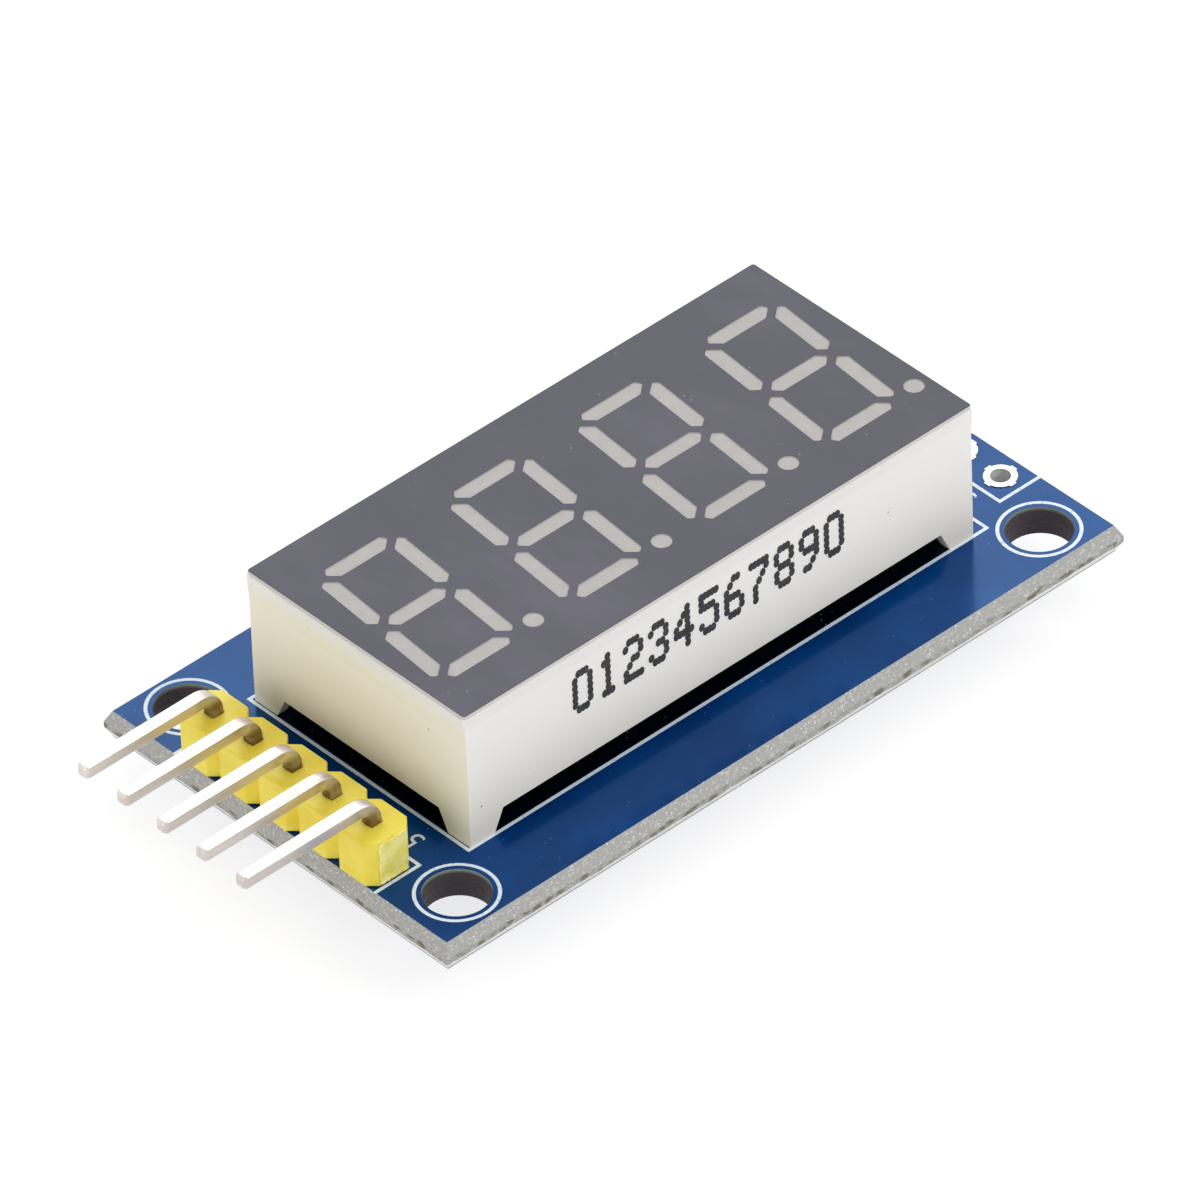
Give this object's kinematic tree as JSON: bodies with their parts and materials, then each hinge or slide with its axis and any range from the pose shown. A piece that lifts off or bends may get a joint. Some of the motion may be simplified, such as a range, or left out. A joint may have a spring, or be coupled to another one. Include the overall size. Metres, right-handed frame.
{
  "type": "four-digit seven-segment display module",
  "caption": "Seven-segment LED display on a blue driver board with plain mounting holes, a bent pin header at one end and an empty row of plated holes at the other.",
  "frame": {"origin": "centre of the four mounting holes on the board's underside", "axes": "+X in reading direction, away from the fitted header; +Y to the tops of the digits; +Z out of the display's face"},
  "size_m": [0.0462, 0.022, 0.0107],
  "materials": {
    "board_laminate": "glossy blue solder mask over glass laminate",
    "tinned_copper": "bright tin over copper",
    "white_plastic": "satin white moulding",
    "grey_film": "satin dark grey film",
    "diffusing_resin": "milky cast resin",
    "led_board_laminate": "dark green laminate",
    "led_die": "bare semiconductor",
    "yellow_plastic": "satin yellow moulding",
    "tinned_wire": "bright tinned brass",
    "solder": "bright solder",
    "black_epoxy": "matt black moulding",
    "tinned_leads": "matt tin",
    "resistor_ceramic": "black glazed film on ceramic",
    "capacitor_ceramic": "tan ceramic"
  },
  "bodies": {
    "root": {"circuit_board": "board_laminate", "tinned_lands": "tinned_copper", "display_housing": "white_plastic", "face_film": "grey_film", "resin_fill": "diffusing_resin", "led_board": "led_board_laminate", "led_dies": "led_die", "header_strip": "yellow_plastic", "display_pin_1": "tinned_wire", "display_pin_2": "tinned_wire", "display_pin_3": "tinned_wire", "display_pin_4": "tinned_wire", "display_pin_5": "tinned_wire", "display_pin_6": "tinned_wire", "display_pin_7": "tinned_wire", "display_pin_8": "tinned_wire", "display_pin_9": "tinned_wire", "display_pin_10": "tinned_wire", "display_pin_11": "tinned_wire", "display_pin_12": "tinned_wire", "display_solder_1": "solder", "display_solder_2": "solder", "display_solder_3": "solder", "display_solder_4": "solder", "display_solder_5": "solder", "display_solder_6": "solder", "display_solder_7": "solder", "display_solder_8": "solder", "display_solder_9": "solder", "display_solder_10": "solder", "display_solder_11": "solder", "display_solder_12": "solder", "header_pin_1": "tinned_wire", "header_pin_2": "tinned_wire", "header_pin_3": "tinned_wire", "header_pin_4": "tinned_wire", "header_pin_5": "tinned_wire", "header_solder_1": "solder", "header_solder_2": "solder", "header_solder_3": "solder", "header_solder_4": "solder", "header_solder_5": "solder", "driver_body_1": "black_epoxy", "driver_body_2": "black_epoxy", "driver_leads_1": "tinned_leads", "driver_leads_2": "tinned_leads", "resistor_1": "resistor_ceramic", "resistor_2": "resistor_ceramic", "resistor_3": "resistor_ceramic", "resistor_4": "resistor_ceramic", "resistor_5": "resistor_ceramic", "resistor_6": "resistor_ceramic", "resistor_7": "resistor_ceramic", "resistor_8": "resistor_ceramic", "capacitor_1": "capacitor_ceramic", "capacitor_2": "capacitor_ceramic"}
  },
  "joints": []
}
